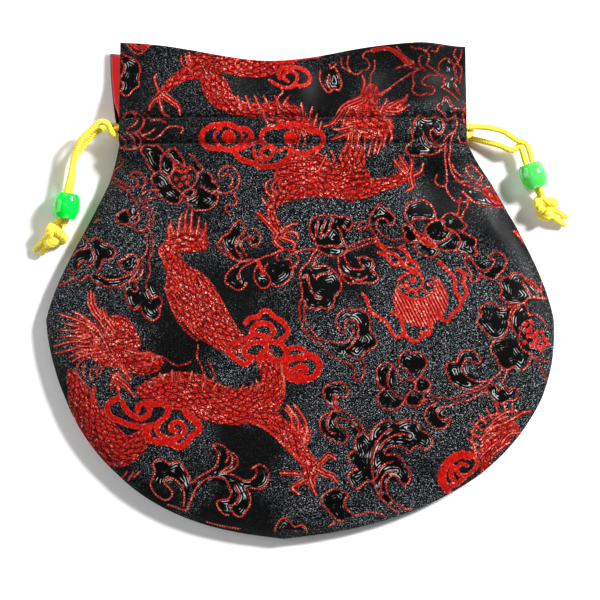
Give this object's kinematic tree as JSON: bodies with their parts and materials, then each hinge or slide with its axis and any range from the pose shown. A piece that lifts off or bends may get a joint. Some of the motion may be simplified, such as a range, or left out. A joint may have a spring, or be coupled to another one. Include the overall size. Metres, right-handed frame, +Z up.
{
  "type": "drawstring pouch",
  "caption": "Drawstring pouch of brocade cloth lying flat, lined in red, with a casing below its open header and drawcords that end in beads and knots.",
  "frame": {"origin": "centre of the base of the bounding box of the pouch itself, cords, beads and knots left out", "axes": "+Z up from the surface that the pouch lies on, +Y from the bottom seam towards the mouth, +X to the right as seen from above"},
  "size_m": [0.1505, 0.1384, 0.0115],
  "materials": {
    "brocade": "satin",
    "red_lining": "satin",
    "yellow_cord": "satin",
    "green_bead": "gloss"
  },
  "bodies": {
    "pouch": {"front_panel": "brocade", "back_panel": "brocade", "front_lining": "red_lining", "back_lining": "red_lining", "drawcord_left": "yellow_cord", "drawcord_right": "yellow_cord", "knot_left": "yellow_cord", "knot_right": "yellow_cord"},
    "left_bead": {"bead_left": "green_bead"},
    "right_bead": {"bead_right": "green_bead"}
  },
  "joints": [
    {"name": "left_bead_slide", "type": "slide", "parent": "pouch", "child": "left_bead", "axis": [0.1701, 0.9854, 0], "range_m": [0, 0.009]},
    {"name": "right_bead_slide", "type": "slide", "parent": "pouch", "child": "right_bead", "axis": [-0.33, 0.944, 0], "range_m": [0, 0.004]}
  ]
}
